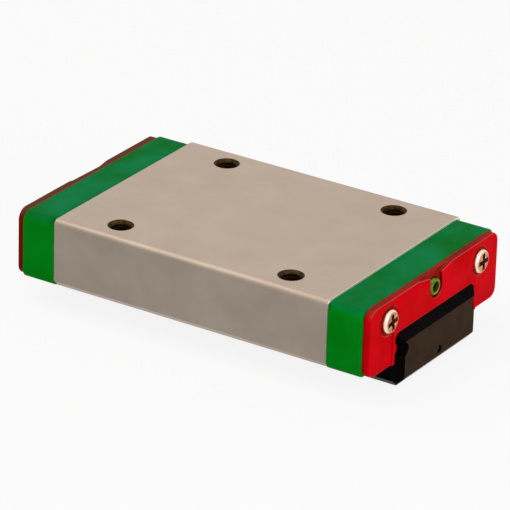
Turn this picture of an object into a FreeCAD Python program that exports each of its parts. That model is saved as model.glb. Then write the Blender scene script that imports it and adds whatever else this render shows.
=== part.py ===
import FreeCAD, Part
import math
import os
import Sketcher

# Miniature linear guide with a wide carriage on a short plastic carrying rail.
# Millimetres. X runs along the travel and +X is the front, +Y is the left side,
# +Z is up. The origin lies under the middle of the rail, on its base.

DRIVING_SIZES = {
    # Carriage envelope
    "carriage_width": 30.0,
    "carriage_top": 12.0,
    "carriage_underside": 3.2,
    "steel_length": 38.5,
    "steel_top_radius": 0.7,
    "steel_toe_chamfer": 0.8,
    "channel_gap": 0.35,
    # Tapped holes that carry the load
    "bolt_spacing_along": 24.0,
    "bolt_spacing_across": 23.0,
    "bolt_core_diameter": 2.5,
    "bolt_rim_diameter": 3.2,
    "bolt_depth": 3.0,
    # Rail
    "rail_width": 18.0,
    "rail_height": 7.0,
    "rail_length": 51.5,
    "rail_top_radius": 0.9,
    "rail_base_chamfer": 0.9,
    "rail_groove_depth": 1.7,
    "lead_in_length": 1.0,
    "lead_in_drop": 1.1,
    "base_lead_in_drop": 1.1,
    "gate_diameter": 0.9,
    "gate_depth": 0.3,
    "gate_height": 1.9,
    # Ball circuits
    "ball_diameter": 1.588,
    "ball_spacing_gap": 0.03,
    "groove_play": 0.03,
    "groove_radius": 0.86,
    "bore_play": 0.09,
    "track_height": 4.9,
    "track_outboard": 0.15,
    "return_wall": 2.15,
    "wire_diameter": 0.4,
    "wire_inboard": 1.2,
    "wire_leg": 2.6,
    "wire_seat_depth": 1.4,
    "wire_play": 0.05,
    "guide_inset": 0.5,
    "guide_flange": 0.5,
    "guide_play": 0.05,
    # End caps
    "cap_length": 4.55,
    "cap_top_drop": 0.25,
    "cap_top_radius": 1.2,
    "cap_toe_radius": 1.0,
    "cap_gap": 0.3,
    "scoop_radius": 0.55,
    "scoop_reach": 0.6,
    "oil_way_width": 0.5,
    "oil_way_depth": 0.4,
    "oil_way_height": 7.85,
    "port_height": 9.7,
    "port_diameter": 2.0,
    "port_bore": 1.3,
    "port_reach": 1.1,
    "port_play": 0.1,
    # End seals
    "seal_thickness": 1.0,
    "seal_inset": 0.45,
    "seal_top_radius": 1.4,
    "seal_toe_radius": 1.2,
    "seal_gap": 0.05,
    "lip_reach": 1.0,
    "lip_recess": 0.15,
    "panel_width": 19.2,
    "panel_thickness": 0.2,
    "panel_slope_height": 2.2,
    "notch_width": 2.6,
    "notch_depth": 0.56,
    "flare_width": 8.0,
    "flare_drop": 0.5,
    # End screws
    "screw_spacing": 20.74,
    "screw_height": 9.2,
    "screw_diameter": 1.6,
    "screw_length": 8.0,
    "screw_play": 0.05,
    "screw_hole_spare": 0.6,
    "screw_passage_play": 0.1,
    "head_diameter": 3.0,
    "head_height": 0.8,
    "head_pocket_diameter": 3.7,
    "head_pocket_depth": 0.25,
}

# Places that several pieces share, as expressions in the driving sizes.
BLOCK_END = "(dims.steel_length / 2)"
CAP_FACE = f"({BLOCK_END} + dims.cap_length)"
SEAL_FACE = f"({CAP_FACE} + dims.seal_thickness)"
PANEL_FACE = f"({SEAL_FACE} + dims.panel_thickness)"
HEAD_SEAT = f"({SEAL_FACE} - dims.head_pocket_depth)"
SIDE = "(dims.carriage_width / 2)"
SEAL_SIDE = f"({SIDE} - dims.seal_inset)"
CAP_TOP = "(dims.carriage_top - dims.cap_top_drop)"
RAIL_SIDE = "(dims.rail_width / 2)"
BALL_RADIUS = "(dims.ball_diameter / 2)"
TRACK = f"({RAIL_SIDE} + dims.track_outboard)"
RETURN = f"({SIDE} - dims.return_wall)"
TURN = f"(({TRACK} + {RETURN}) / 2)"
TURN_RADIUS = f"({RETURN} - {TURN})"
GUIDE_RADIUS = f"({TURN_RADIUS} - dims.guide_inset)"
BORE_RADIUS = f"({BALL_RADIUS} + dims.bore_play)"
WIRE = f"({TRACK} - dims.wire_inboard)"
WIRE_END = f"({CAP_FACE} - dims.wire_seat_depth + dims.wire_diameter / 2 + dims.wire_play)"
GUIDE_HALF_HEIGHT = f"({BORE_RADIUS} + dims.guide_flange)"
SCREW = "(dims.screw_spacing / 2)"

# Small repeated rounds are drawn with flats: sides round each, and bands from pole to pole.
TUNNEL_SIDES = 8
WIRE_SIDES = 6
SCREW_SIDES = 12
OPEN_BALL_SIDES, OPEN_BALL_BANDS = 6, 4
HIDDEN_BALL_SIDES, HIDDEN_BALL_BANDS = 6, 3
NEAR = 1e-4
Z_AXIS = FreeCAD.Vector(0, 0, 1)
# How a sketch counts: its own origin, then the start, end and centre of a curve.
ORIGIN = -1
START, END, CENTRE = range(1, 4)

document = FreeCAD.newDocument("linear_guide")
dims = document.addObject("Spreadsheet::Sheet", "dims")
for row, (size_name, size) in enumerate(DRIVING_SIZES.items(), 1):
    dims.set(f"A{row}", size_name)
    dims.set(f"B{row}", str(size))
    dims.setAlias(f"B{row}", size_name)
document.recompute()


def number(expression):
    """Present value of an expression in the driving sizes."""
    result = dims.evalExpression(str(expression))
    return float(getattr(result, "Value", result))


# Sketch helpers

def new_body(label):
    body = document.addObject("PartDesign::Body", label)
    body.Label = label
    return body


def base_plane(body, role):
    return next(feature for feature in body.Origin.OriginFeatures if feature.Role == role)


def new_sketch(body, name, role, lift="0"):
    """Sketch on one of the body's own planes, moved along its normal."""
    sketch = body.newObject("Sketcher::SketchObject", name)
    sketch.AttachmentSupport = [(base_plane(body, role), "")]
    sketch.MapMode = "FlatFace"
    sketch.setExpression("AttachmentOffset.Base.z", lift)
    return sketch


def bind(sketch, kind, references, expression):
    """Adds a dimension to the sketch and ties it to an expression."""
    index = sketch.addConstraint(Sketcher.Constraint(kind, *references, number(expression)))
    sketch.setExpression(f"Constraints[{index}]", expression)


def pin(sketch, geometry, vertex, across, up):
    bind(sketch, "DistanceX", (ORIGIN, START, geometry, vertex), across)
    bind(sketch, "DistanceY", (ORIGIN, START, geometry, vertex), up)


def draw_polygon(sketch, corners):
    """Closed outline; each corner is a pair of expressions."""
    points = [FreeCAD.Vector(number(across), number(up), 0) for across, up in corners]
    first = sketch.GeometryCount
    for start, end in zip(points, points[1:] + points[:1]):
        sketch.addGeometry(Part.LineSegment(start, end), False)
    for index, (across, up) in enumerate(corners):
        following = first + (index + 1) % len(corners)
        sketch.addConstraint(Sketcher.Constraint("Coincident", first + index, END, following, START))
        pin(sketch, first + index, START, across, up)


def draw_circle(sketch, across, up, radius):
    centre = FreeCAD.Vector(number(across), number(up), 0)
    index = sketch.addGeometry(Part.Circle(centre, Z_AXIS, number(radius)), False)
    pin(sketch, index, CENTRE, across, up)
    bind(sketch, "Radius", (index,), radius)


def draw_ring(sketch, across, up, radius, sides):
    """Regular outline with its flats at the radius from the centre."""
    corner = f"({radius}) / {math.cos(math.pi / sides):.6f}"
    angles = [math.pi * (2 * index + 1) / sides for index in range(sides)]
    draw_polygon(sketch, [(f"{across} + {corner} * {math.cos(angle):.6f}",
                           f"{up} + {corner} * {math.sin(angle):.6f}") for angle in angles])


def draw_arc(sketch, across, up, radius, start_angle, end_angle):
    centre = FreeCAD.Vector(number(across), number(up), 0)
    circle = Part.Circle(centre, Z_AXIS, number(radius))
    index = sketch.addGeometry(Part.ArcOfCircle(circle, start_angle, end_angle), False)
    pin(sketch, index, CENTRE, across, up)
    bind(sketch, "Radius", (index,), radius)
    return index


def draw_saddle(sketch, half_width, top, gap):
    """Cross-section that straddles the rail with a gap on its sides and top."""
    opening = f"({RAIL_SIDE} + {gap})"
    crown = f"(dims.rail_height + {gap})"
    draw_polygon(sketch, [
        (f"-{half_width}", "dims.carriage_underside"),
        (f"-{half_width}", top),
        (half_width, top),
        (half_width, "dims.carriage_underside"),
        (opening, "dims.carriage_underside"),
        (opening, crown),
        (f"-{opening}", crown),
        (f"-{opening}", "dims.carriage_underside"),
    ])


def draw_gothic_arch(sketch):
    """Pointed ball groove that opens towards the rail: two flanks of equal radius,
    each centred past the ball so that it meets the ball at 45 degrees."""
    shift = f"((dims.groove_radius - {BALL_RADIUS} - dims.groove_play) * sqrt(0.5))"
    middle = f"({TRACK} - {shift})"
    tilt = math.asin(number(shift) / number("dims.groove_radius"))
    lower = draw_arc(sketch, middle, f"(dims.track_height + {shift})", "dims.groove_radius",
                     -math.pi / 2, -tilt)
    upper = draw_arc(sketch, middle, f"(dims.track_height - {shift})", "dims.groove_radius",
                     tilt, math.pi / 2)
    reach = number(f"dims.groove_radius - {shift}")
    foot = FreeCAD.Vector(number(middle), number("dims.track_height") - reach, 0)
    head = FreeCAD.Vector(number(middle), number("dims.track_height") + reach, 0)
    chord = sketch.addGeometry(Part.LineSegment(head, foot), False)
    for joint in ((lower, END, upper, START), (upper, END, chord, START), (chord, END, lower, START)):
        sketch.addConstraint(Sketcher.Constraint("Coincident", *joint))
    sketch.addConstraint(Sketcher.Constraint("Vertical", lower, START, lower, CENTRE))
    sketch.addConstraint(Sketcher.Constraint("Vertical", upper, END, upper, CENTRE))


def draw_round_slot(sketch, bottom, mouth, radius):
    """Slot with a half-round bottom, from its bottom out to its mouth."""
    centre = f"({bottom} + {radius})"
    arc = draw_arc(sketch, centre, "dims.track_height", radius, math.pi / 2, 3 * math.pi / 2)
    low = number(f"dims.track_height - {radius}")
    high = number(f"dims.track_height + {radius}")
    corners = [(centre, low), (mouth, low), (mouth, high), (centre, high)]
    points = [FreeCAD.Vector(number(across), up, 0) for across, up in corners]
    floor, front, roof = [sketch.addGeometry(Part.LineSegment(*ends), False)
                          for ends in zip(points, points[1:])]
    for joint in ((arc, END, floor, START), (floor, END, front, START),
                  (front, END, roof, START), (roof, END, arc, START)):
        sketch.addConstraint(Sketcher.Constraint("Coincident", *joint))
    for line in (floor, roof):
        sketch.addConstraint(Sketcher.Constraint("Horizontal", line))
    sketch.addConstraint(Sketcher.Constraint("Vertical", front))
    sketch.addConstraint(Sketcher.Constraint("Vertical", arc, START, arc, CENTRE))
    bind(sketch, "DistanceX", (ORIGIN, START, front, START), mouth)


# Feature helpers

def pad(body, name, sketch, length, both_ways=False, backwards=False):
    feature = body.newObject("PartDesign::Pad", name)
    feature.Profile = sketch
    feature.setExpression("Length", length)
    feature.SideType = "Symmetric" if both_ways else "One side"
    feature.Reversed = backwards
    document.recompute()
    return feature


def pocket(body, name, sketch, depth=None, both_ways=False, along_normal=False):
    """Cuts to a depth, or right through where no depth is given."""
    feature = body.newObject("PartDesign::Pocket", name)
    feature.Profile = sketch
    if depth is None:
        feature.Type = "ThroughAll"
    else:
        feature.setExpression("Length", depth)
    feature.SideType = "Symmetric" if both_ways else "One side"
    feature.Reversed = along_normal
    document.recompute()
    return feature


def drill(body, name, sketch, diameter, depth, along_normal=False):
    """Flat-bottomed blind holes, one for each circle of the sketch."""
    document.recompute()
    feature = body.newObject("PartDesign::Hole", name)
    feature.Profile = sketch
    feature.DepthType = "Dimension"
    feature.DrillPoint = "Flat"
    feature.setExpression("Diameter", diameter)
    feature.setExpression("Depth", depth)
    feature.Reversed = along_normal
    document.recompute()
    return feature


def groove_round(body, name, sketch):
    """Cuts the sketch all the way round its vertical axis."""
    feature = body.newObject("PartDesign::Groove", name)
    feature.Profile = sketch
    feature.ReferenceAxis = (sketch, ["V_Axis"])
    feature.Angle = 360
    document.recompute()
    return feature


def mirror(body, name, features, role):
    feature = body.newObject("PartDesign::Mirrored", name)
    feature.Originals = features
    feature.MirrorPlane = (base_plane(body, role), [""])
    body.Tip = feature
    document.recompute()
    return feature


def edges_at(shape, **levels):
    """Names of the edges that lie at the given distances from the body's planes."""
    def lies_there(edge):
        points = [vertex.Point for vertex in edge.Vertexes] + [edge.CenterOfMass]
        return all(abs(abs(getattr(point, axis)) - number(level)) < NEAR
                   for point in points for axis, level in levels.items())
    return [f"Edge{index}" for index, edge in enumerate(shape.Edges, 1) if lies_there(edge)]


def soften(body, kind, name, base, size, edges):
    """Fillet or chamfer of the given size on edges of the base feature."""
    feature = body.newObject(f"PartDesign::{kind}", name)
    feature.Base = (base, edges)
    feature.setExpression("Radius" if kind == "Fillet" else "Size", size)
    document.recompute()
    return feature


def place(thing, along="0", across="0", up="0", turned=False):
    """Puts a piece at its seat; turned faces it to the rear."""
    thing.Placement = FreeCAD.Placement(FreeCAD.Vector(), FreeCAD.Rotation(Z_AXIS, 180 if turned else 0))
    thing.setExpression("Placement.Base.x", along)
    thing.setExpression("Placement.Base.y", across)
    thing.setExpression("Placement.Base.z", up)


# Sub-parts

def make_rail():
    """Plastic carrying rail: round-bottomed ball grooves and tapered ends."""
    body = new_body("dummy_rail")
    section = new_sketch(body, "rail_section", "YZ_Plane")
    draw_polygon(section, [
        (f"-{RAIL_SIDE}", "0"),
        (f"-{RAIL_SIDE}", "dims.rail_height"),
        (RAIL_SIDE, "dims.rail_height"),
        (RAIL_SIDE, "0"),
    ])
    bar = pad(body, "rail_bar", section, "dims.rail_length", both_ways=True)
    top_edges = edges_at(bar.Shape, y=RAIL_SIDE, z="dims.rail_height")
    rounded = soften(body, "Fillet", "rail_top_rounding", bar, "dims.rail_top_radius", top_edges)
    base_edges = edges_at(rounded.Shape, y=RAIL_SIDE, z="0")
    soften(body, "Chamfer", "rail_base_bevel", rounded, "dims.rail_base_chamfer", base_edges)

    groove_section = new_sketch(body, "rail_groove_section", "YZ_Plane")
    draw_round_slot(groove_section, f"({RAIL_SIDE} - dims.rail_groove_depth)",
                    f"({RAIL_SIDE} + dims.rail_top_radius)", f"({BALL_RADIUS} + dims.groove_play)")
    groove = pocket(body, "rail_groove", groove_section, both_ways=True)
    mirror(body, "rail_grooves", [groove], "XZ_Plane")

    rail_end = "(dims.rail_length / 2)"
    taper_start = f"({rail_end} - dims.lead_in_length)"
    side_taper = new_sketch(body, "side_lead_in_outline", "XY_Plane")
    for sign in ("", "-"):
        draw_polygon(side_taper, [
            (taper_start, f"{sign}{RAIL_SIDE}"),
            (rail_end, f"{sign}{RAIL_SIDE}"),
            (rail_end, f"{sign}({RAIL_SIDE} - dims.lead_in_drop)"),
        ])
    side_cut = pocket(body, "side_lead_in", side_taper, both_ways=True)
    flat_taper = new_sketch(body, "flat_lead_in_outline", "XZ_Plane")
    for face, end_level in (("dims.rail_height", "(dims.rail_height - dims.lead_in_drop)"),
                            ("0", "dims.base_lead_in_drop")):
        draw_polygon(flat_taper, [
            (taper_start, face),
            (rail_end, face),
            (rail_end, end_level),
        ])
    flat_cut = pocket(body, "flat_lead_in", flat_taper, both_ways=True)
    mirror(body, "rear_lead_ins", [side_cut, flat_cut], "YZ_Plane")

    gate = new_sketch(body, "gate_outline", "YZ_Plane", rail_end)
    draw_circle(gate, "0", "dims.gate_height", "(dims.gate_diameter / 2)")
    pocket(body, "gate_mark", gate, "dims.gate_depth")
    return body


def make_block():
    """Steel body: saddle, ball tracks, return bores, tapped holes on top and at both ends."""
    body = new_body("carriage_block")
    section = new_sketch(body, "block_section", "YZ_Plane")
    draw_saddle(section, SIDE, "dims.carriage_top", "dims.channel_gap")
    saddle = pad(body, "block_saddle", section, "dims.steel_length", both_ways=True)
    top_edges = edges_at(saddle.Shape, y=SIDE, z="dims.carriage_top")
    rounded = soften(body, "Fillet", "block_top_rounding", saddle, "dims.steel_top_radius", top_edges)
    toe_edges = edges_at(rounded.Shape, y=SIDE, z="dims.carriage_underside")
    soften(body, "Chamfer", "block_toe_chamfer", rounded, "dims.steel_toe_chamfer", toe_edges)

    track_section = new_sketch(body, "ball_track_section", "YZ_Plane")
    draw_gothic_arch(track_section)
    track = pocket(body, "ball_track", track_section, both_ways=True)
    bore_section = new_sketch(body, "return_bore_section", "YZ_Plane")
    draw_ring(bore_section, RETURN, "dims.track_height", BORE_RADIUS, TUNNEL_SIDES)
    bore = pocket(body, "return_bore", bore_section, both_ways=True)
    mirror(body, "right_circuit", [track, bore], "XZ_Plane")

    bolt_plan = new_sketch(body, "bolt_plan", "XY_Plane", "dims.carriage_top")
    for along in ("", "-"):
        for across in ("", "-"):
            draw_circle(bolt_plan, f"{along}dims.bolt_spacing_along / 2",
                        f"{across}dims.bolt_spacing_across / 2", "dims.bolt_core_diameter / 2")
    bolts = drill(body, "bolt_holes", bolt_plan, "dims.bolt_core_diameter", "dims.bolt_depth")
    bolts.HoleCutType = "Countersink"
    bolts.setExpression("HoleCutDiameter", "dims.bolt_rim_diameter")

    screw_plan = new_sketch(body, "screw_plan", "YZ_Plane", BLOCK_END)
    for across in ("", "-"):
        draw_circle(screw_plan, f"{across}{SCREW}", "dims.screw_height", "dims.screw_diameter / 2")
    bite = f"(dims.screw_length - ({HEAD_SEAT} - {BLOCK_END}))"
    screws = drill(body, "screw_holes", screw_plan, "dims.screw_diameter + 2 * dims.screw_play",
                   f"{bite} + dims.screw_hole_spare")
    mirror(body, "rear_screw_holes", [screws], "YZ_Plane")
    return body


def make_cap(label, rear):
    """Moulded end cap: turnaround for both circuits, scoops, oil ways and grease port."""
    body = new_body(label)
    section = new_sketch(body, f"{label}_section", "YZ_Plane", BLOCK_END)
    draw_saddle(section, SIDE, CAP_TOP, "dims.cap_gap")
    saddle = pad(body, f"{label}_saddle", section, "dims.cap_length")
    top_edges = edges_at(saddle.Shape, y=SIDE, z=CAP_TOP)
    rounded = soften(body, "Fillet", f"{label}_rounding", saddle, "dims.cap_top_radius", top_edges)
    toe_edges = edges_at(rounded.Shape, y=SIDE, z="dims.carriage_underside")
    soften(body, "Fillet", f"{label}_toes", rounded, "dims.cap_toe_radius", toe_edges)

    port = new_sketch(body, f"{label}_port", "YZ_Plane", CAP_FACE)
    draw_circle(port, "0", "dims.port_height", "dims.port_diameter / 2")
    pad(body, f"{label}_port_boss", port, "dims.port_reach")
    scoop_outline = new_sketch(body, f"{label}_scoop_outline", "YZ_Plane", BLOCK_END)
    scoop_middle = f"({RAIL_SIDE} - dims.scoop_reach + dims.scoop_radius)"
    for sign in ("", "-"):
        draw_ring(scoop_outline, f"{sign}{scoop_middle}", "dims.track_height",
                  "dims.scoop_radius", TUNNEL_SIDES)
    pad(body, f"{label}_scoops", scoop_outline, "dims.cap_length")

    for side, sign in (("left", ""), ("right", "-")):
        turn = new_sketch(body, f"{label}_{side}_turn_section", "YZ_Plane", BLOCK_END)
        turn.setExpression("AttachmentOffset.Base.x", f"{sign}{TURN}")
        draw_ring(turn, TURN_RADIUS, "dims.track_height", BORE_RADIUS, TUNNEL_SIDES)
        groove_round(body, f"{label}_{side}_turn", turn)
        seat = body.newObject("PartDesign::SubtractiveCylinder", f"{label}_{side}_guide_seat")
        seat.setExpression("Radius", f"{GUIDE_RADIUS} + dims.guide_play")
        seat.setExpression("Height", f"2 * ({GUIDE_HALF_HEIGHT} + dims.guide_play)")
        place(seat, BLOCK_END, f"{sign}{TURN}",
              f"dims.track_height - {GUIDE_HALF_HEIGHT} - dims.guide_play")
        body.Tip = seat
        document.recompute()

    oil_plan = new_sketch(body, f"{label}_oil_plan", "YZ_Plane", BLOCK_END)
    half = "dims.oil_way_width / 2"
    bar_low = f"(dims.oil_way_height - {half})"
    bar_high = f"(dims.oil_way_height + {half})"
    outer = f"({TURN} + {half})"
    inner = f"({TURN} - {half})"
    draw_polygon(oil_plan, [
        (f"-{outer}", "dims.track_height"),
        (f"-{outer}", bar_high),
        (f"-{half}", bar_high),
        (f"-{half}", "dims.port_height"),
        (half, "dims.port_height"),
        (half, bar_high),
        (outer, bar_high),
        (outer, "dims.track_height"),
        (inner, "dims.track_height"),
        (inner, bar_low),
        (f"-{inner}", bar_low),
        (f"-{inner}", "dims.track_height"),
    ])
    pocket(body, f"{label}_oil_ways", oil_plan, "dims.oil_way_depth", along_normal=True)

    bore = new_sketch(body, f"{label}_bore", "YZ_Plane", f"{CAP_FACE} + dims.port_reach")
    draw_circle(bore, "0", "dims.port_height", "dims.port_bore / 2")
    pocket(body, f"{label}_port_bore", bore)
    passages = new_sketch(body, f"{label}_passages", "YZ_Plane", CAP_FACE)
    for sign in ("", "-"):
        draw_circle(passages, f"{sign}{SCREW}", "dims.screw_height",
                    "dims.screw_diameter / 2 + dims.screw_passage_play")
    pocket(body, f"{label}_screw_passages", passages)

    wire_seats = new_sketch(body, f"{label}_wire_seats", "YZ_Plane", CAP_FACE)
    half_seat = "(dims.wire_diameter / 2 + dims.wire_play)"
    seat_end = f"({WIRE} + dims.wire_leg + dims.wire_play)"
    for sign in ("", "-"):
        draw_polygon(wire_seats, [
            (f"{sign}({WIRE} - {half_seat})", f"(dims.track_height - {half_seat})"),
            (f"{sign}{seat_end}", f"(dims.track_height - {half_seat})"),
            (f"{sign}{seat_end}", f"(dims.track_height + {half_seat})"),
            (f"{sign}({WIRE} - {half_seat})", f"(dims.track_height + {half_seat})"),
        ])
    pocket(body, f"{label}_wire_slots", wire_seats, "dims.wire_seat_depth")
    place(body, turned=rear)
    return body


def make_seal(label, rear):
    """End seal: plate with a raised panel that slopes back to its top edge, lips in the rail
    grooves and a notch at the port."""
    body = new_body(label)
    section = new_sketch(body, f"{label}_section", "YZ_Plane", CAP_FACE)
    draw_saddle(section, SEAL_SIDE, CAP_TOP, "dims.seal_gap")
    plate = pad(body, f"{label}_plate", section, "dims.seal_thickness")
    top_edges = edges_at(plate.Shape, y=SEAL_SIDE, z=CAP_TOP)
    rounded = soften(body, "Fillet", f"{label}_rounding", plate, "dims.seal_top_radius", top_edges)
    toe_edges = edges_at(rounded.Shape, y=SEAL_SIDE, z="dims.carriage_underside")
    soften(body, "Fillet", f"{label}_toes", rounded, "dims.seal_toe_radius", toe_edges)

    panel = new_sketch(body, f"{label}_panel", "YZ_Plane", SEAL_FACE)
    draw_saddle(panel, "(dims.panel_width / 2)", CAP_TOP, "dims.seal_gap")
    pad(body, f"{label}_raised_panel", panel, "dims.panel_thickness")
    slope_side = new_sketch(body, f"{label}_slope_side", "XZ_Plane")
    draw_polygon(slope_side, [
        (PANEL_FACE, f"({CAP_TOP} - dims.panel_slope_height)"),
        (PANEL_FACE, CAP_TOP),
        (SEAL_FACE, CAP_TOP),
    ])
    sloped = pocket(body, f"{label}_panel_slope", slope_side, both_ways=True)
    opening = f"({RAIL_SIDE} + dims.seal_gap)"
    crown = "(dims.rail_height + dims.seal_gap)"
    corner_edges = edges_at(sloped.Shape, y=opening, z=crown)
    soften(body, "Fillet", f"{label}_mouth_corners", sloped,
           "dims.rail_top_radius + dims.seal_gap", corner_edges)

    lips = new_sketch(body, f"{label}_lips", "YZ_Plane", CAP_FACE)
    lip_radius = f"({BALL_RADIUS} + dims.groove_play - dims.seal_gap)"
    for sign in ("", "-"):
        draw_circle(lips, f"{sign}({RAIL_SIDE} - dims.lip_reach + {lip_radius})",
                    "dims.track_height", lip_radius)
    pad(body, f"{label}_groove_lips", lips, "dims.seal_thickness - dims.lip_recess")

    notch = new_sketch(body, f"{label}_notch", "YZ_Plane", PANEL_FACE)
    draw_circle(notch, "0", "dims.port_height", "dims.notch_width / 2")
    pocket(body, f"{label}_notch_round", notch, "dims.notch_depth")
    flare = new_sketch(body, f"{label}_flare", "YZ_Plane", PANEL_FACE)
    shoulder = f"({CAP_TOP} - dims.flare_drop)"
    draw_polygon(flare, [
        ("-dims.notch_width / 2", "dims.port_height"),
        ("-dims.notch_width / 2", shoulder),
        ("-dims.flare_width / 2", CAP_TOP),
        ("dims.flare_width / 2", CAP_TOP),
        ("dims.notch_width / 2", shoulder),
        ("dims.notch_width / 2", "dims.port_height"),
    ])
    pocket(body, f"{label}_notch_flare", flare, "dims.notch_depth")

    port = new_sketch(body, f"{label}_port", "YZ_Plane", PANEL_FACE)
    draw_circle(port, "0", "dims.port_height", "dims.port_diameter / 2 + dims.port_play")
    pocket(body, f"{label}_port_hole", port)
    pockets = new_sketch(body, f"{label}_head_pockets", "YZ_Plane", PANEL_FACE)
    passages = new_sketch(body, f"{label}_passages", "YZ_Plane", PANEL_FACE)
    for sign in ("", "-"):
        draw_circle(pockets, f"{sign}{SCREW}", "dims.screw_height", "dims.head_pocket_diameter / 2")
        draw_circle(passages, f"{sign}{SCREW}", "dims.screw_height",
                    "dims.screw_diameter / 2 + dims.screw_passage_play")
    pocket(body, f"{label}_screw_seats", pockets, f"{PANEL_FACE} - {HEAD_SEAT}")
    pocket(body, f"{label}_screw_passages", passages)
    place(body, turned=rear)
    return body


def make_guide(label, across, rear):
    """Return guide: half a spool whose waist is the inner wall of the ball turn."""
    body = new_body(label)
    plan = new_sketch(body, f"{label}_plan", "XY_Plane")
    arc = draw_arc(plan, "0", "0", GUIDE_RADIUS, -math.pi / 2, math.pi / 2)
    high = FreeCAD.Vector(0, number(GUIDE_RADIUS), 0)
    chord = plan.addGeometry(Part.LineSegment(high, -high), False)
    plan.addConstraint(Sketcher.Constraint("Coincident", arc, END, chord, START))
    plan.addConstraint(Sketcher.Constraint("Coincident", chord, END, arc, START))
    plan.addConstraint(Sketcher.Constraint("Vertical", chord))
    plan.addConstraint(Sketcher.Constraint("PointOnObject", ORIGIN, START, chord))
    pad(body, f"{label}_spool", plan, f"2 * {GUIDE_HALF_HEIGHT}", both_ways=True)
    waist = new_sketch(body, f"{label}_waist_section", "YZ_Plane")
    draw_ring(waist, TURN_RADIUS, "0", BORE_RADIUS, TUNNEL_SIDES)
    groove_round(body, f"{label}_waist", waist)
    place(body, f"{'-' if rear else ''}{BLOCK_END}", across, "dims.track_height", turned=rear)
    return body


def make_wire(label, turned):
    """Ball retaining wire: a straight run with both ends bent out into the caps."""
    body = new_body(label)
    radius = "dims.wire_diameter / 2"
    run_section = new_sketch(body, f"{label}_run_section", "YZ_Plane")
    draw_ring(run_section, WIRE, "dims.track_height", radius, WIRE_SIDES)
    pad(body, f"{label}_run", run_section, f"2 * ({WIRE_END} + {radius})", both_ways=True)
    leg_sections = new_sketch(body, f"{label}_leg_sections", "XZ_Plane", f"-{WIRE}")
    for sign in ("", "-"):
        draw_ring(leg_sections, f"{sign}{WIRE_END}", "dims.track_height", radius, WIRE_SIDES)
    pad(body, f"{label}_legs", leg_sections, "dims.wire_leg", backwards=True)
    place(body, turned=turned)
    return body


def faceted_ball(radius, sides, bands):
    """Ball with few flats; its corners lie on the true sphere."""
    def corner(band, side):
        polar = math.pi * band / bands
        turn = 2 * math.pi * side / sides
        return FreeCAD.Vector(math.sin(polar) * math.cos(turn), math.sin(polar) * math.sin(turn),
                              math.cos(polar)) * radius
    faces = []
    for band in range(bands):
        for side in range(sides):
            ring = [corner(band, side), corner(band + 1, side),
                    corner(band + 1, side + 1), corner(band, side + 1)]
            outline = [point for index, point in enumerate(ring)
                       if not point.isEqual(ring[index - 1], NEAR)]
            faces.append(Part.Face(Part.makePolygon(outline + outline[:1])))
    return Part.Solid(Part.Shell(faces))


def circuit_places():
    """Ball centres of the left circuit, evenly spaced, as (stretch, x, y)."""
    straight = number("dims.steel_length")
    turn_radius = number(TURN_RADIUS)
    turn_middle = number(TURN)
    turn_length = math.pi * turn_radius
    whole = 2 * (straight + turn_length)
    count = int(whole / number("dims.ball_diameter + dims.ball_spacing_gap"))
    for index in range(count):
        travelled = (index + 0.5) * whole / count
        half_turns, rest = divmod(travelled, straight + turn_length)
        heading = 1 if half_turns == 0 else -1
        if rest < straight:
            stretch = "loaded" if heading == 1 else "return"
            yield stretch, heading * (rest - straight / 2), turn_middle - heading * turn_radius
        else:
            angle = (rest - straight) / turn_radius
            stretch = "front_turn" if heading == 1 else "rear_turn"
            yield (stretch, heading * (straight / 2 + turn_radius * math.sin(angle)),
                   turn_middle - heading * turn_radius * math.cos(angle))


def make_balls(side, mirrored):
    """One node of balls for each stretch of a circuit."""
    open_ball = faceted_ball(number(BALL_RADIUS), OPEN_BALL_SIDES, OPEN_BALL_BANDS)
    hidden_ball = faceted_ball(number(BALL_RADIUS), HIDDEN_BALL_SIDES, HIDDEN_BALL_BANDS)
    stretches = {}
    for stretch, along, across in circuit_places():
        copy = (open_ball if stretch == "loaded" else hidden_ball).copy()
        copy.translate(FreeCAD.Vector(along, -across if mirrored else across, 0))
        stretches.setdefault(stretch, []).append(copy)
    nodes = []
    for stretch, balls in stretches.items():
        node = document.addObject("Part::Feature", f"{stretch}_balls_{side}")
        node.Shape = Part.Compound(balls)
        place(node, up="dims.track_height")
        nodes.append(node)
    return nodes


def make_screw(label, across, rear):
    """Pan head screw, seated at its own origin with the head towards +X."""
    body = new_body(label)
    head = new_sketch(body, f"{label}_head_outline", "YZ_Plane")
    draw_ring(head, "0", "0", "dims.head_diameter / 2", SCREW_SIDES)
    pad(body, f"{label}_head", head, "dims.head_height")
    shank = new_sketch(body, f"{label}_shank_outline", "YZ_Plane")
    draw_ring(shank, "0", "0", "dims.screw_diameter / 2", SCREW_SIDES)
    pad(body, f"{label}_shank", shank, "dims.screw_length", backwards=True)
    place(body, f"{'-' if rear else ''}{HEAD_SEAT}", across, "dims.screw_height", turned=rear)
    return body


def make_screw_pair(label, rear):
    pair = document.addObject("Part::Compound", label)
    pair.Links = [make_screw(f"{label}_{side}", f"{sign}{SCREW}", rear)
                  for side, sign in (("left", ""), ("right", "-"))]
    return pair


def make_sub_parts():
    """Every separate piece of the guide, one object for each file."""
    pieces = [make_rail(), make_block()]
    for end, rear in (("front", False), ("rear", True)):
        pieces.append(make_cap(f"end_cap_{end}", rear))
        pieces.append(make_seal(f"end_seal_{end}", rear))
        pieces.append(make_screw_pair(f"end_screws_{end}", rear))
        for side, sign in (("left", ""), ("right", "-")):
            pieces.append(make_guide(f"return_guide_{end}_{side}", f"{sign}{TURN}", rear))
    for side, mirrored in (("left", False), ("right", True)):
        pieces.append(make_wire(f"ball_retainer_{side}", mirrored))
        pieces.extend(make_balls(side, mirrored))
    return pieces


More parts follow.
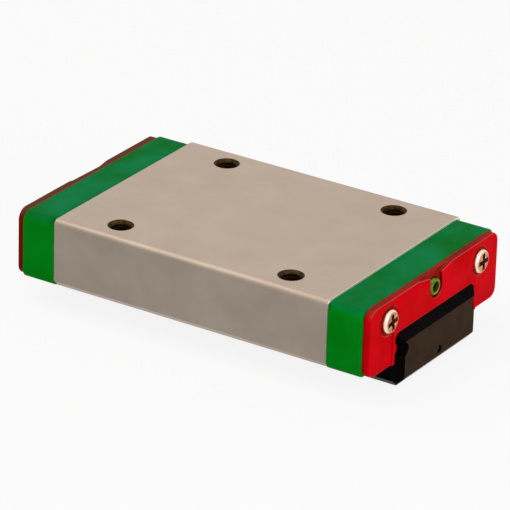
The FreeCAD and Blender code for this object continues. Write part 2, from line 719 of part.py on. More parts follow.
CUTTING = ("Pocket", "Hole", "Groove", "SubtractiveCylinder")
ADDING = ("Pad",)


def find_faults(pieces):
    """Features that failed, cut nothing or added nothing, and pieces without a sound shape."""
    faults = [f"{thing.Name}: {thing.State}" for thing in document.Objects
              if {"Invalid", "Error"} & set(thing.State)]
    if faults:
        return faults
    for thing in document.Objects:
        kind = thing.TypeId.rpartition("::")[2]
        base = getattr(thing, "BaseFeature", None)
        if base is None or kind not in CUTTING + ADDING:
            continue
        gained = thing.Shape.Volume - base.Shape.Volume
        if (gained >= 0) == (kind in CUTTING):
            faults.append(f"{thing.Name}: volume changed by {gained:.4f}")
    for piece in pieces:
        if piece.Shape.isNull() or not piece.Shape.isValid() or not piece.Shape.Solids:
            faults.append(f"{piece.Label}: no sound shape")
    return faults


def main():
    pieces = make_sub_parts()
    document.recompute()
    faults = find_faults(pieces)
    if faults:
        raise RuntimeError("; ".join(faults))
    os.makedirs("parts", exist_ok=True)
    for piece in pieces:
        piece.Shape.exportStep(os.path.join("parts", f"{piece.Label}.step"))
        print(f"{piece.Label}: {len(piece.Shape.Solids)} solids, {piece.Shape.Volume:.2f} mm3")


main()
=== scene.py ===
import math

import bmesh
import bpy
from mathutils import Matrix, Vector


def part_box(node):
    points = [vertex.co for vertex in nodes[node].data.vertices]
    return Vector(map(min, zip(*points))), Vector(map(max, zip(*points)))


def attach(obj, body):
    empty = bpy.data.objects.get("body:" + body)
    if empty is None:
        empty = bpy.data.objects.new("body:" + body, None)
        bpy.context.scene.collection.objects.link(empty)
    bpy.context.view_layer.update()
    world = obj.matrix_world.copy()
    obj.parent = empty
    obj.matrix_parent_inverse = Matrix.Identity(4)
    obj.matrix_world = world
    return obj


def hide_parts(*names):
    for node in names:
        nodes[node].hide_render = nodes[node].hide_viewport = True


# Dress of a miniature linear guide: ground steel carriage, green end caps, red end seals,
# cross recess screws and a black moulded rail. Metres, +X is the front, +Z is up.

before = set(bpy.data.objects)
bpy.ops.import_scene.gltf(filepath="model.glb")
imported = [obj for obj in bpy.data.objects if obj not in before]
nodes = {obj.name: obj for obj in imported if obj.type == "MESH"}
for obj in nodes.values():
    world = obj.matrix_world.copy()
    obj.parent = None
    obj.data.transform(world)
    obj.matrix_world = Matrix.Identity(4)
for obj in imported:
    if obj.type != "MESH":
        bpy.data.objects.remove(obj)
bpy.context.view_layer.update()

MM = 0.001
ENDS = ("front", "rear")
SIDES = {"left": 1, "right": -1}

# Places of forms in the solids, in millimetres, for the materials that differ from form to form.
# The block's ends are bare over BARE_STEP from its top down, because the caps stand lower; there they get a
# painted highlight.
TOP = 12.0
BARE_STEP = 0.4
# Tapped holes; HOLE_ROOM is left below their floors
HOLE_ALONG = 12.0
HOLE_ACROSS = 11.5
HOLE_RIM_RADIUS = 1.63
HOLE_RIM_DEPTH = 0.3
HOLE_CORE_RADIUS = 1.25
HOLE_DEPTH = 3.0
HOLE_ROOM = 0.2
# Port boss, whose own colour fades in over BOSS_FADE in front of the cap
CAP_FACE = 23.8
BOSS_FADE = 0.1
PORT_HEIGHT = 9.7
PORT_BORE_RADIUS = 0.68
# Seal: anything behind SUNK_FACE is the floor of a notch or a screw pocket, which gets painted shade
SUNK_FACE = 24.65
# Notch whose walls get painted shade
NOTCH_HALF_WIDTH = 1.35
NOTCH_BOTTOM = 8.35
NOTCH_SHOULDER = 11.2

# Linear colours; where there are two, the surface varies between them
STEEL_TOP = ((0.448, 0.344, 0.264), (0.482, 0.374, 0.292))
# Painted shade: the block's sides are painted darker than its top
STEEL_SHADED_SIDE = ((0.30, 0.25, 0.20), (0.345, 0.29, 0.235))
# Painted highlight on the block's end faces
STEEL_END_HIGHLIGHT = (0.76, 0.74, 0.62)
# Painted shade in the tapped holes
STEEL_HOLE_SHADE = ((0.022, 0.011, 0.002), (0.075, 0.045, 0.014))
CAP_SIDE = ((0.0, 0.205, 0.004), (0.0005, 0.24, 0.012))
# Painted reflection: a bluish sheen on the caps' tops
CAP_TOP_REFLECTION = ((0.0, 0.155, 0.014), (0.003, 0.21, 0.060))
PORT_BOSS = ((0.095, 0.18, 0.012), (0.27, 0.43, 0.09))
# Painted shade in the port's bore
PORT_BORE_SHADE = (0.045, 0.05, 0.002)
SEAL_SIDE = ((0.53, 0.0003, 0.002), (0.67, 0.001, 0.008))
# Painted shade: the seals' tops are painted duller than their sides
SEAL_TOP_SHADE = ((0.24, 0.014, 0.009), (0.34, 0.024, 0.015))
# Painted shade on the floors of the seal's notch and screw pockets
SEAL_SUNK_SHADE = ((0.25, 0.008, 0.003), (0.31, 0.016, 0.005))
# Painted highlight on the seals' rounded front edges
SEAL_EDGE_HIGHLIGHT = (0.72, 0.12, 0.11)
# Painted shade on the walls of the seal's notch
SEAL_NOTCH_WALL_SHADE = (0.15, 0.001, 0.001)
# Painted shade on the rear seal's rim, darker and browner
REAR_RIM_SIDE_SHADE = (0.20, 0.010, 0.003)
REAR_RIM_TOP_SHADE = (0.13, 0.042, 0.022)
RAIL_LONG_FACES = ((0.001, 0.0005, 0.0005), (0.003, 0.002, 0.002))
RAIL_END_FACES = ((0.031, 0.017, 0.009), (0.041, 0.025, 0.014))
SCREW_PLATING = ((0.80, 0.66, 0.48), (0.93, 0.80, 0.62))
# Painted shade on the screws' flat faces, darker and warmer
SCREW_FACE_SHADE = ((0.52, 0.16, 0.06), (0.72, 0.34, 0.17))
# Painted shade in the screw recesses and in the threads of the tapped holes
SCREW_RECESS_SHADE = ((0.05, 0.007, 0.002), (0.15, 0.026, 0.008))
HOLE_THREAD_SHADE = ((0.010, 0.004, 0.001), (0.032, 0.013, 0.003))
GUIDE_PLASTIC = ((0.72, 0.69, 0.60), (0.80, 0.78, 0.70))
WIRE_STEEL = ((0.62, 0.61, 0.60), (0.74, 0.73, 0.72))
BALL_STEEL = ((0.78, 0.78, 0.79), (0.86, 0.86, 0.87))


# Shader helpers

def add_node(tree, kind, **values):
    """Shader node with its sockets or settings given by name; spaces are written as underscores."""
    node = tree.nodes.new("ShaderNode" + kind)
    for key, value in values.items():
        socket = node.inputs.get(key.replace("_", " "))
        if socket is None:
            setattr(node, key, value)
        else:
            socket.default_value = value
    return node


def measure(tree, operation, *values):
    """Result of one Math node; each value is a socket or a plain number."""
    node = add_node(tree, "Math", operation=operation)
    for socket, value in zip(node.inputs, values):
        if isinstance(value, (int, float)):
            socket.default_value = value
        else:
            tree.links.new(value, socket)
    return node.outputs["Value"]


def product(tree, *shares):
    """Product of shares; each is a socket or, after the first, a plain number."""
    result = shares[0]
    for share in shares[1:]:
        result = measure(tree, "MULTIPLY", result, share)
    return result


def remainder(tree, share):
    """What a share leaves of 1."""
    return measure(tree, "SUBTRACT", 1.0, share)


def diagonal(tree, first, second):
    """Length of the diagonal over two lengths at right angles."""
    squares = [measure(tree, "MULTIPLY", length, length) for length in (first, second)]
    return measure(tree, "SQRT", measure(tree, "ADD", *squares))


def below(tree, place, limit):
    """1 where a place in metres lies below a limit in millimetres, 0 elsewhere."""
    return measure(tree, "LESS_THAN", place, limit * MM)


def above(tree, place, limit):
    """1 where a place in metres lies above a limit in millimetres, 0 elsewhere."""
    return measure(tree, "GREATER_THAN", place, limit * MM)


def rise(tree, value, low, high):
    """Smooth step from 0 at low to 1 at high."""
    step = add_node(tree, "MapRange", interpolation_type="SMOOTHSTEP", From_Min=low, From_Max=high)
    tree.links.new(value, step.inputs["Value"])
    return step.outputs["Result"]


def coordinate(tree, kind, axis):
    """Part along an axis of the piece: of the Object place, in metres, or of the surface's Normal."""
    parts = add_node(tree, "SeparateXYZ")
    tree.links.new(add_node(tree, "TexCoord").outputs[kind], parts.inputs["Vector"])
    return parts.outputs[axis]


def off_middle(tree, axis):
    """Distance from the piece's middle plane across an axis, in metres, either way."""
    return measure(tree, "ABSOLUTE", coordinate(tree, "Object", axis))


def facing(tree, axis, low=0.0, high=1.0):
    """Share that rises from 0 to 1 as the surface turns to face along an axis, either way."""
    return rise(tree, measure(tree, "ABSOLUTE", coordinate(tree, "Normal", axis)), low, high)


def place_noise(tree, size, stretch=(1, 1, 1), detail=3):
    """Noise fixed to the piece, with features about size millimetres wide and stretched along its axes."""
    mapping = add_node(tree, "Mapping", Scale=[1 / (MM * size * factor) for factor in stretch])
    noise = add_node(tree, "TexNoise", Scale=1, Detail=detail)
    tree.links.new(add_node(tree, "TexCoord").outputs["Object"], mapping.inputs["Vector"])
    tree.links.new(mapping.outputs["Vector"], noise.inputs["Vector"])
    return noise.outputs["Fac"]


def spread(tree, noise, low, high):
    """Maps the useful middle of a noise to the range from low to high."""
    spread_node = add_node(tree, "MapRange", From_Min=0.3, From_Max=0.7, To_Min=low, To_Max=high)
    tree.links.new(noise, spread_node.inputs["Value"])
    return spread_node.outputs["Result"]


def vary(tree, noise, first, second):
    """Colour that wanders from the first to the second with a noise."""
    ramp = add_node(tree, "ValToRGB")
    for element, place, colour in zip(ramp.color_ramp.elements, (0.35, 0.65), (first, second)):
        element.position = place
        element.color = (*colour, 1)
    tree.links.new(noise, ramp.inputs["Fac"])
    return ramp.outputs["Color"]


def mix(tree, share, first, second):
    """First colour or number at share 0, second at share 1."""
    mixer = add_node(tree, "Mix", data_type="RGBA")
    tree.links.new(share, mixer.inputs["Factor"])
    colour_inputs = [socket for socket in mixer.inputs if socket.type == "RGBA"]
    for socket, value in zip(colour_inputs, (first, second)):
        if isinstance(value, tuple):
            socket.default_value = (*value, 1)
        else:
            tree.links.new(value, socket)
    return next(socket for socket in mixer.outputs if socket.type == "RGBA")


def add_bump(tree, height, depth, normal=None):
    """Bump that is depth millimetres deep, on top of an earlier one if given."""
    bump = add_node(tree, "Bump", Strength=1.0, Distance=depth * MM)
    tree.links.new(height, bump.inputs["Height"])
    if normal is not None:
        tree.links.new(normal, bump.inputs["Normal"])
    return bump.outputs["Normal"]


# Materials

def new_material(name, **settings):
    """Material whose plain numbers are set on the shader itself."""
    material = bpy.data.materials.new(name)
    material.use_nodes = True
    shader = material.node_tree.nodes["Principled BSDF"]
    for key, value in settings.items():
        shader.inputs[key.replace("_", " ")].default_value = value
    return material, material.node_tree, shader


def link_surface(tree, shader, colour, roughness, normal):
    """Links what varies over the surface to the shader."""
    for name, socket in (("Base Color", colour), ("Roughness", roughness), ("Normal", normal)):
        tree.links.new(socket, shader.inputs[name])


def inside_holes(tree):
    """1 on the walls and rims of the four tapped holes, 0 elsewhere."""
    along = measure(tree, "SUBTRACT", off_middle(tree, "X"), HOLE_ALONG * MM)
    across = measure(tree, "SUBTRACT", off_middle(tree, "Y"), HOLE_ACROSS * MM)
    near = below(tree, diagonal(tree, along, across), HOLE_RIM_RADIUS)
    height = coordinate(tree, "Object", "Z")
    turned_away = remainder(tree, facing(tree, "Z", 0.9, 0.98))
    below_rim = below(tree, height, TOP - HOLE_RIM_DEPTH)
    above_floor = above(tree, height, TOP - HOLE_DEPTH - HOLE_ROOM)
    return product(tree, near, above_floor, measure(tree, "MAXIMUM", turned_away, below_rim))


def make_ground_steel():
    """Ground steel: long faint grinding lines and soft warm clouds, with painted shade that makes its sides
    darker than its top, painted highlights on the edges at its ends, and painted shade in its holes, which
    are also rougher and dull."""
    material, tree, shader = new_material("ground_steel", Metallic=0.55)
    clouds = place_noise(tree, 6, detail=4)
    # Painted shade: the sides take darker tones than the top
    ground = mix(tree, facing(tree, "Z"), vary(tree, clouds, *STEEL_SHADED_SIDE), vary(tree, clouds, *STEEL_TOP))
    # Painted highlight on the block's end faces: above the caps at the front, all over at the rear
    at_rear = below(tree, coordinate(tree, "Object", "X"), 0.0)
    above_caps = above(tree, coordinate(tree, "Object", "Z"), TOP - BARE_STEP)
    end_highlight = product(tree, measure(tree, "MAXIMUM", at_rear, above_caps), facing(tree, "X", 0.3, 0.8))
    ground = mix(tree, end_highlight, ground, STEEL_END_HIGHLIGHT)
    # Painted shade in the holes, where the steel is also rougher and duller
    holes = inside_holes(tree)
    colour = mix(tree, holes, ground, vary(tree, place_noise(tree, 0.5), *STEEL_HOLE_SHADE))
    lines = place_noise(tree, 0.09, stretch=(60, 1, 1), detail=2)
    pits = place_noise(tree, 0.5)
    roughness = measure(tree, "ADD", spread(tree, lines, 0.34, 0.48), measure(tree, "MULTIPLY", holes, 0.2))
    shine = measure(tree, "SUBTRACT", 0.5, measure(tree, "MULTIPLY", holes, 0.45))
    tree.links.new(shine, shader.inputs["Specular IOR Level"])
    normal = add_bump(tree, pits, 0.0015, add_bump(tree, lines, 0.0012))
    link_surface(tree, shader, colour, roughness, normal)
    return material


def make_moulded_plastic(name, shine, roughness, side, top=None, extra=None):
    """Moulded plastic: two close tones in soft patches on its sides and on its top, over a fine grain; the
    top's tones are painted light, a painted reflection on the caps and painted shade on the seals.
    """
    material, tree, shader = new_material(name, Specular_IOR_Level=shine)
    patches = place_noise(tree, 5)
    colour = vary(tree, patches, *side)
    # Painted light: faces turned up take the top tones
    if top:
        colour = mix(tree, facing(tree, "Z", 0.3, 0.95), colour, vary(tree, patches, *top))
    if extra:
        colour = extra(tree, colour)
    grain = place_noise(tree, 0.16)
    flow = place_noise(tree, 2.4, detail=2)
    normal = add_bump(tree, grain, 0.0025, add_bump(tree, flow, 0.012))
    link_surface(tree, shader, colour, spread(tree, flow, *roughness), normal)
    return material


def tint_port_boss(tree, colour):
    """The port boss, which stands in front of the cap's own face, is a yellower green, with painted shade in
    its bore.
    """
    in_front = rise(tree, off_middle(tree, "X"), CAP_FACE * MM, (CAP_FACE + BOSS_FADE) * MM)
    boss = mix(tree, in_front, colour, vary(tree, place_noise(tree, 0.7), *PORT_BOSS))
    # Painted shade in the bore
    up = measure(tree, "SUBTRACT", coordinate(tree, "Object", "Z"), PORT_HEIGHT * MM)
    in_bore = below(tree, diagonal(tree, up, off_middle(tree, "Y")), PORT_BORE_RADIUS)
    return mix(tree, in_bore, boss, PORT_BORE_SHADE)


def paint_seal_shade_and_highlight(tree, colour):
    """Painted shade and highlight on the seal: a darker, browner rim as painted shade at the rear, a painted
    highlight on the rounded front edges, painted shade on the floors of the notch and the screw pockets, and
    painted shade on the notch walls."""
    # Painted shade on the rear seal's rim
    at_rear = below(tree, coordinate(tree, "Object", "X"), 0.0)
    rim = remainder(tree, facing(tree, "X", 0.5, 0.95))
    rear_shade = mix(tree, facing(tree, "Z", 0.2, 0.9), REAR_RIM_SIDE_SHADE, REAR_RIM_TOP_SHADE)
    colour = mix(tree, product(tree, at_rear, rim), colour, rear_shade)
    # Painted highlight on the rounded front edges
    edge_highlight = product(tree, facing(tree, "X"), facing(tree, "Z", 0.3, 0.6), 0.75)
    colour = mix(tree, edge_highlight, colour, SEAL_EDGE_HIGHLIGHT)
    # Painted shade on the sunk floors
    sunk = product(tree, below(tree, off_middle(tree, "X"), SUNK_FACE), facing(tree, "X", 0.5, 0.9))
    colour = mix(tree, sunk, colour, vary(tree, place_noise(tree, 1.2), *SEAL_SUNK_SHADE))
    # Painted shade on the notch walls
    height = coordinate(tree, "Object", "Z")
    in_notch = product(tree, below(tree, off_middle(tree, "Y"), NOTCH_HALF_WIDTH),
                       above(tree, height, NOTCH_BOTTOM), below(tree, height, NOTCH_SHOULDER))
    wall = remainder(tree, facing(tree, "X", 0.2, 0.6))
    return mix(tree, product(tree, in_notch, wall), colour, SEAL_NOTCH_WALL_SHADE)


def make_rail_plastic():
    """Black moulded rail: glossy along its length and tapers, brownish and duller on its ends."""
    material, tree, shader = new_material("rail_plastic", Specular_IOR_Level=0.012)
    streaks = place_noise(tree, 1.2, stretch=(6, 1, 1))
    clouds = place_noise(tree, 2.5, detail=4)
    on_end = facing(tree, "X", 0.9, 0.99)
    colour = mix(tree, on_end, vary(tree, streaks, *RAIL_LONG_FACES), vary(tree, clouds, *RAIL_END_FACES))
    roughness = mix(tree, on_end, spread(tree, streaks, 0.16, 0.26), spread(tree, clouds, 0.5, 0.62))
    grain = place_noise(tree, 0.2)
    normal = add_bump(tree, grain, 0.002, add_bump(tree, streaks, 0.01))
    link_surface(tree, shader, colour, roughness, normal)
    return material


def make_bright_steel(name, tones, roughness, scratch=(1, 1, 1), face=None):
    """Bright steel with hairline scratches and a faint tarnish; where face tones are given, flat end faces
    take them as painted shade, darker and warmer.
    """
    material, tree, shader = new_material(name, Metallic=1.0)
    tarnish = place_noise(tree, 0.7, detail=4)
    colour = vary(tree, tarnish, *tones)
    # Painted shade: flat end faces take the darker, warmer face tones
    if face:
        colour = mix(tree, facing(tree, "X", 0.8, 0.97), colour, vary(tree, tarnish, *face))
    hairlines = place_noise(tree, 0.05, stretch=scratch, detail=2)
    link_surface(tree, shader, colour, spread(tree, hairlines, *roughness), add_bump(tree, hairlines, 0.0006))
    return material


def make_shaded_steel(name, tones):
    """Steel painted dark as painted shade, for the screw recesses and the tapped holes, with a mottle in its
    tone, roughness and bump.
    """
    material, tree, shader = new_material(name, Specular_IOR_Level=0.05)
    mottle = place_noise(tree, 0.4, detail=4)
    roughness = spread(tree, mottle, 0.4, 0.6)
    link_surface(tree, shader, vary(tree, mottle, *tones), roughness, add_bump(tree, mottle, 0.004))
    return material


steel = make_ground_steel()
green = make_moulded_plastic("cap_plastic", 0.007, (0.3, 0.44), CAP_SIDE, CAP_TOP_REFLECTION, tint_port_boss)
red = make_moulded_plastic("seal_plastic", 0.007, (0.32, 0.46), SEAL_SIDE, SEAL_TOP_SHADE, paint_seal_shade_and_highlight)
black = make_rail_plastic()
plating = make_bright_steel("screw_plating", SCREW_PLATING, (0.2, 0.34), face=SCREW_FACE_SHADE)
# Painted shade for the screw recesses and the hole threads
recess_shade = make_shaded_steel("recess_shade_steel", SCREW_RECESS_SHADE)
thread_shade = make_shaded_steel("thread_shade_steel", HOLE_THREAD_SHADE)
natural = make_moulded_plastic("guide_plastic", 0.3, (0.4, 0.5), GUIDE_PLASTIC)
wire = make_bright_steel("retainer_wire", WIRE_STEEL, (0.2, 0.3), scratch=(20, 1, 1))
ball_finish = make_bright_steel("ball_steel", BALL_STEEL, (0.06, 0.10))


# Carried-over nodes

WELD_DISTANCE = 1e-6
FLAT_ANGLE = math.radians(0.5)
SHARP_ANGLE = math.radians(28)


def finish_node(name, material, edge=0):
    """Gives a node its material and rounds its sharp edges by edge millimetres."""
    node = nodes[name]
    for slot in node.material_slots:
        slot.material = material
    weld = node.modifiers.new("weld", "WELD")
    weld.merge_threshold = WELD_DISTANCE
    flatten = node.modifiers.new("flatten", "DECIMATE")
    flatten.decimate_type = "DISSOLVE"
    flatten.angle_limit = FLAT_ANGLE
    if edge:
        bevel = node.modifiers.new("edges", "BEVEL")
        bevel.width = edge * MM
        bevel.segments = 2
        bevel.limit_method = "ANGLE"
        bevel.angle_limit = SHARP_ANGLE
        bevel.use_clamp_overlap = False
        bevel.harden_normals = True
        bevel.miter_outer = "MITER_ARC"


finish_node("carriage_block", steel, edge=0.1)
finish_node("dummy_rail", black, edge=0.09)
for end in ENDS:
    finish_node(f"end_cap_{end}", green, edge=0.1)
    finish_node(f"end_seal_{end}", red, edge=0.12)
    for side in SIDES:
        finish_node(f"return_guide_{end}_{side}", natural)


# Mesh helpers

def mesh_object(name, shape, materials=()):
    """Object made of a finished shape, which is used up."""
    mesh = bpy.data.meshes.new(name)
    shape.to_mesh(mesh)
    shape.free()
    for material in materials:
        mesh.materials.append(material)
    thing = bpy.data.objects.new(name, mesh)
    bpy.context.scene.collection.objects.link(thing)
    return thing


def new_piece(name, shape, materials, replaced):
    """Object that rides on the carriage, in place of a node where one is given."""
    piece = mesh_object(name, shape, materials)
    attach(piece, "carriage")
    if replaced:
        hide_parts(replaced)


def solid_boxes(name):
    """Lowest and highest corner of each separate solid of a node."""
    shape = bmesh.new()
    shape.from_mesh(nodes[name].data)
    bmesh.ops.remove_doubles(shape, verts=shape.verts, dist=WELD_DISTANCE)
    waiting = set(shape.verts)
    boxes = []
    for start in shape.verts:
        if start not in waiting:
            continue
        waiting.remove(start)
        front = [start]
        found = []
        while front:
            vertex = front.pop()
            found.append(vertex.co.copy())
            for edge in vertex.link_edges:
                other = edge.other_vert(vertex)
                if other in waiting:
                    waiting.remove(other)
                    front.append(other)
        low, high = [Vector([pick(point[axis] for point in found) for axis in range(3)])
                     for pick in (min, max)]
        boxes.append((low, high))
    shape.free()
    return boxes


def turned_ring(radii):
    """Ring of points round the Z axis, evenly spaced, each at its own radius."""
    ring = []
    for step, radius in enumerate(radii):
        angle = 2 * math.pi * step / len(radii)
        ring.append(Vector((radius * math.cos(angle), radius * math.sin(angle), 0)))
    return ring


def add_skin(shape, rings, closed=False):
    """Smooth skin over rings of equal length, which ends in flat lids or runs on to the first ring."""
    made = [[shape.verts.new(point) for point in ring] for ring in rings]
    for first, second in zip(made, made[1:] + made[:1] if closed else made[1:]):
        for index in range(len(first)):
            following = (index + 1) % len(first)
            face = shape.faces.new((first[index], first[following], second[following], second[index]))
            face.smooth = True
    if not closed:
        shape.faces.new(reversed(made[0]))
        shape.faces.new(made[-1])


def turn_outwards(shape):
    """Turns the faces of closed skins outwards."""
    bmesh.ops.recalc_face_normals(shape, faces=shape.faces)


# Balls and wires

BALL_SUBDIVISIONS = 3
WIRE_SIDES = 16
BEND_RADII = 3
BEND_ANGLES = [math.radians(degrees) for degrees in range(0, 91, 10)]


def make_balls(name):
    """Smooth balls in the places of a node's faceted ones."""
    shape = bmesh.new()
    for low, high in solid_boxes(name):
        bmesh.ops.create_icosphere(shape, subdivisions=BALL_SUBDIVISIONS, radius=(high.z - low.z) / 2,
                                   matrix=Matrix.Translation((low + high) / 2))
    for face in shape.faces:
        face.smooth = True
    new_piece(f"{name}_smooth", shape, [ball_finish], name)


def tube_rings(path, radius, sides):
    """Rings round a path in the XY plane."""
    rings = []
    for index, point in enumerate(path):
        ahead = path[min(index + 1, len(path) - 1)]
        behind = path[max(index - 1, 0)]
        along = (ahead - behind).normalized()
        across = Vector((-along.y, along.x, 0))
        rings.append([point + across * corner.x + Vector((0, 0, corner.y))
                      for corner in turned_ring([radius] * sides)])
    return rings


def make_wire(side):
    """Ball retaining wire with round bends at both ends."""
    name = f"ball_retainer_{side}"
    low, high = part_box(name)
    sign = SIDES[side]
    radius = (high.z - low.z) / 2
    bend = BEND_RADII * radius
    reach = high.x - radius
    inner = (low.y if sign > 0 else high.y) + sign * radius
    outer = high.y if sign > 0 else low.y
    level = (low.z + high.z) / 2
    half = [Vector((reach, outer, level))]
    for angle in BEND_ANGLES:
        half.append(Vector((reach - bend + bend * math.cos(angle),
                            inner + sign * bend * (1 - math.sin(angle)), level)))
    path = half + [Vector((-point.x, point.y, point.z)) for point in reversed(half)]
    shape = bmesh.new()
    add_skin(shape, tube_rings(path, radius, WIRE_SIDES))
    turn_outwards(shape)
    new_piece(f"{name}_bent", shape, [wire], name)


# Screws: sizes in millimetres, along the axis from the head's seat, +X outwards

HEAD_PROFILE = [
    (0.0, 1.49), (0.36, 1.49), (0.52, 1.45), (0.65, 1.36),
    (0.74, 1.22), (0.79, 1.04), (0.80, 0.85), (0.80, 0.02),
]
HEAD_TOP = HEAD_PROFILE[-1][0]
HEAD_SIDES = 48
# Rings of the recess: place from the head's top, reach of the four arms, half their width
RECESS_RINGS = [(0.2, 1.15, 0.33), (-0.25, 0.92, 0.2805), (-0.62, 0.396, 0.198)]
SHANK_RADIUS = 0.8
SHANK_LENGTH = 8.0
SHANK_SIDES = 16
THREAD_PITCH = 0.35
THREAD_DEPTH = 0.19
THREAD_STEEPNESS = 1.25
RUN_OUT_LENGTH = 0.6
TIP_TAPER = 0.25
ROWS_PER_PITCH = 8


def across_axis(ring, along):
    """The ring turned from the Z axis to the screw's own and set at its place there, in metres."""
    return [Vector((along, point.x, point.y)) * MM for point in ring]


def recess_outline(along, reach, half_width):
    """Cross-shaped ring across the screw's axis."""
    corners = [(reach, -half_width), (reach, half_width), (half_width, half_width)]
    ring = []
    for quarter in range(4):
        turn = Matrix.Rotation(quarter * math.pi / 2, 3, "X")
        ring += [turn @ Vector((along, across, up)) * MM for across, up in corners]
    return ring


def cut_away(base, cutter):
    """Mesh of the base less the cutter; both objects are used up."""
    cut = base.modifiers.new("cut", "BOOLEAN")
    cut.operation = "DIFFERENCE"
    cut.solver = "EXACT"
    cut.object = cutter
    bpy.context.view_layer.update()
    result = bpy.data.meshes.new_from_object(base.evaluated_get(bpy.context.evaluated_depsgraph_get()))
    for thing in (base, cutter):
        bpy.data.objects.remove(thing)
    return result


def make_screw_head():
    """Mesh of a head with a cross recess, whose own faces take the second material, the painted-shade steel.
    """
    head = bmesh.new()
    add_skin(head, [across_axis(turned_ring([radius] * HEAD_SIDES), along)
                    for along, radius in HEAD_PROFILE])
    turn_outwards(head)
    recess = bmesh.new()
    add_skin(recess, [recess_outline(HEAD_TOP + place, *size) for place, *size in RECESS_RINGS])
    turn_outwards(recess)
    for face in recess.faces:
        face.material_index = 1
        face.smooth = False
    return cut_away(*[mesh_object(name, shape, (plating, recess_shade))
                      for name, shape in (("head", head), ("recess", recess))])


def shank_radius(along, turn):
    """The radius falls and rises once in each pitch, turns as it goes and shrinks at the tip."""
    flank = abs(2 * ((along / THREAD_PITCH + turn) % 1.0) - 1)
    depth = THREAD_DEPTH * min(1.0, THREAD_STEEPNESS * flank)
    run_out = min(1.0, (SHANK_LENGTH + along) / RUN_OUT_LENGTH)
    return (SHANK_RADIUS - depth) * (1 - TIP_TAPER + TIP_TAPER * run_out)


def make_shank():
    """Mesh of a threaded shank."""
    rows = int(SHANK_LENGTH / THREAD_PITCH * ROWS_PER_PITCH)
    rings = []
    for row in range(rows + 1):
        along = -SHANK_LENGTH * row / rows
        radii = [shank_radius(along, step / SHANK_SIDES) for step in range(SHANK_SIDES)]
        rings.append(across_axis(turned_ring(radii), along))
    shape = bmesh.new()
    add_skin(shape, rings)
    turn_outwards(shape)
    mesh = bpy.data.meshes.new("shank")
    shape.to_mesh(mesh)
    shape.free()
    return mesh


def make_screws(end, turns):
    """Both screws of an end, each with its recess stopped at its own angle in degrees."""
    name = f"end_screws_{end}"
    parts = (make_screw_head(), make_shank())
    shape = bmesh.new()
    for (low, high), turn in zip(sorted(solid_boxes(name), key=lambda box: box[0].y), turns):
        centre = (low + high) / 2
        seat = low.x + SHANK_LENGTH * MM if end == "front" else high.x - SHANK_LENGTH * MM
        place = Matrix.Translation((seat, centre.y, centre.z))
        if end == "rear":
            place = place @ Matrix.Rotation(math.pi, 4, "Z")
        place = place @ Matrix.Rotation(math.radians(turn), 4, "X")
        first = len(shape.verts)
        for part in parts:
            shape.from_mesh(part)
        shape.verts.ensure_lookup_table()
        bmesh.ops.transform(shape, matrix=place, verts=shape.verts[first:])
    for part in parts:
        bpy.data.meshes.remove(part)
    new_piece(f"{name}_cross_recess", shape, [plating, recess_shade], name)


# Threads of the tapped holes: sizes in millimetres, from the floor of a hole up

HOLE_PITCH = 0.5
CREST_RADIUS = 1.15
ROOT_RADIUS = 1.235
CREST_STEEPNESS = 2.4
THREADED_LENGTH = 2.6
HOLE_SIDES = 32


def lining_radius(level, turn):
    """The radius narrows to a crest once in each pitch, and turns as it goes."""
    phase = (level / HOLE_PITCH + turn) % 1.0
    crest = max(0.0, 1 - CREST_STEEPNESS * abs(phase - 0.5))
    return ROOT_RADIUS - (ROOT_RADIUS - CREST_RADIUS) * crest


def thread_lining():
    """Rings of a closed sleeve with a threaded inner wall, which fits the bore of a hole."""
    rows = int(THREADED_LENGTH / HOLE_PITCH * ROWS_PER_PITCH)
    levels = [THREADED_LENGTH * row / rows for row in range(rows + 1)]
    walls = [(level, [lining_radius(level, step / HOLE_SIDES) for step in range(HOLE_SIDES)])
             for level in levels]
    walls += [(level, [HOLE_CORE_RADIUS] * HOLE_SIDES) for level in (THREADED_LENGTH, 0.0)]
    return [[(point + Vector((0, 0, level))) * MM for point in turned_ring(radii)]
            for level, radii in walls]


def make_hole_threads():
    """Threads of the four tapped holes in the top of the block."""
    shape = bmesh.new()
    for along in (-HOLE_ALONG, HOLE_ALONG):
        for across in (-HOLE_ACROSS, HOLE_ACROSS):
            place = Vector((along, across, TOP - HOLE_DEPTH)) * MM
            rings = [[point + place for point in ring] for ring in thread_lining()]
            add_skin(shape, rings, closed=True)
    turn_outwards(shape)
    new_piece("tapped_hole_threads", shape, [thread_shade], None)


make_hole_threads()
for side in SIDES:
    make_wire(side)
    for stretch in ("loaded", "front_turn", "return", "rear_turn"):
        make_balls(f"{stretch}_balls_{side}")
make_screws("front", (8, 2))
make_screws("rear", (65, 20))


# Stage, light and camera

FLOOR_HALF_SIZE = 3
FLOOR_LEVEL = -0.02
FLOOR_WHITE_SHARE = 0.88
LAMP_DISTANCE = 0.5
LAMP_COLOUR = (1.0, 0.98, 0.95)


def background_rays(tree, share):
    """The given share for rays that show the background as it is, 0 for those that light the object."""
    rays = add_node(tree, "LightPath").outputs
    seen = measure(tree, "MAXIMUM", rays["Is Camera Ray"], rays["Is Glossy Ray"])
    seen = measure(tree, "MAXIMUM", seen, rays["Is Transmission Ray"])
    return measure(tree, "MULTIPLY", seen, share)


def mix_shaders(tree, share, first, second, surface):
    """Links the first shader at share 0 and the second at share 1 to a surface socket."""
    mixer = add_node(tree, "MixShader")
    for socket, value in zip(mixer.inputs, (share, first.outputs[0], second.outputs[0])):
        tree.links.new(value, socket)
    tree.links.new(mixer.outputs["Shader"], surface)


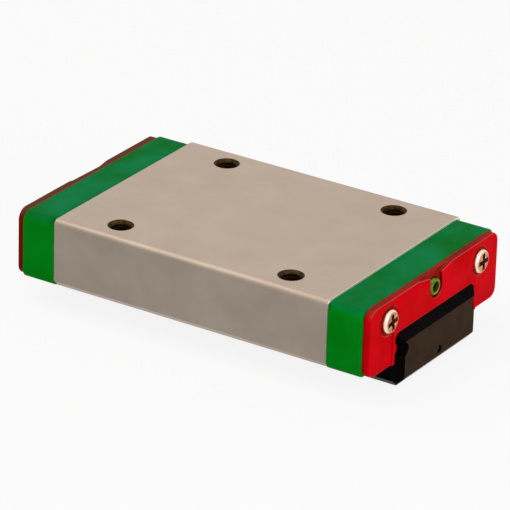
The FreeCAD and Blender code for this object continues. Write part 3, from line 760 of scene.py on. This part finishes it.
def make_floor():
    """Pale floor just below the rail, which keeps the object's soft shadow."""
    shape = bmesh.new()
    bmesh.ops.create_grid(shape, x_segments=1, y_segments=1, size=FLOOR_HALF_SIZE)
    material = bpy.data.materials.new("floor_white")
    material.use_nodes = True
    tree = material.node_tree
    tree.nodes.clear()
    plain = add_node(tree, "BsdfDiffuse", Color=(0.82, 0.82, 0.82, 1))
    white = add_node(tree, "Emission", Color=(1, 1, 1, 1), Strength=1.0)
    surface = add_node(tree, "OutputMaterial").inputs["Surface"]
    mix_shaders(tree, background_rays(tree, FLOOR_WHITE_SHARE), plain, white, surface)
    floor = mesh_object("floor", shape, [material])
    floor.location.z = FLOOR_LEVEL * MM


def make_world():
    """Even fill light; the background itself is seen as white."""
    world = bpy.data.worlds.new("studio")
    bpy.context.scene.world = world
    world.use_nodes = True
    tree = world.node_tree
    tree.nodes.clear()
    fill = add_node(tree, "Background", Color=(1.0, 0.99, 0.97, 1), Strength=0.42)
    white = add_node(tree, "Background", Color=(1, 1, 1, 1), Strength=1.0)
    surface = add_node(tree, "OutputWorld").inputs["Surface"]
    mix_shaders(tree, background_rays(tree, 1.0), fill, white, surface)


def make_lamp(name, direction, size, level):
    """Square lamp that faces the object from a direction; level is the brightness it gives
    a white matt surface."""
    lamp = bpy.data.lights.new(name, "AREA")
    lamp.size = size
    lamp.color = LAMP_COLOUR
    lamp.energy = level * (math.pi * LAMP_DISTANCE) ** 2
    holder = bpy.data.objects.new(name, lamp)
    bpy.context.scene.collection.objects.link(holder)
    towards = Vector(direction).normalized()
    holder.location = towards * LAMP_DISTANCE
    holder.rotation_euler = towards.to_track_quat("Z", "Y").to_euler()


def make_camera():
    """Camera in the place found for the photograph's own."""
    lens = bpy.data.cameras.new("camera")
    lens.sensor_width = 36
    lens.lens = 313.85
    lens.shift_x = 0.00326
    lens.shift_y = 0.00148
    lens.clip_start = 0.05
    lens.clip_end = 10
    camera = bpy.data.objects.new("camera", lens)
    bpy.context.scene.collection.objects.link(camera)
    camera.location = Vector((258.639, -411.017, 228.377)) * MM
    camera.rotation_euler = [math.radians(angle) for angle in (65.4815, -1.519, 32.925)]
    bpy.context.scene.camera = camera


make_floor()
make_world()
make_lamp("key", (-0.48, -0.19, 0.85), size=0.55, level=0.50)
make_lamp("front", (0.9, -0.25, 0.35), size=0.3, level=0.45)
make_camera()
bpy.context.scene.view_settings.view_transform = "Standard"
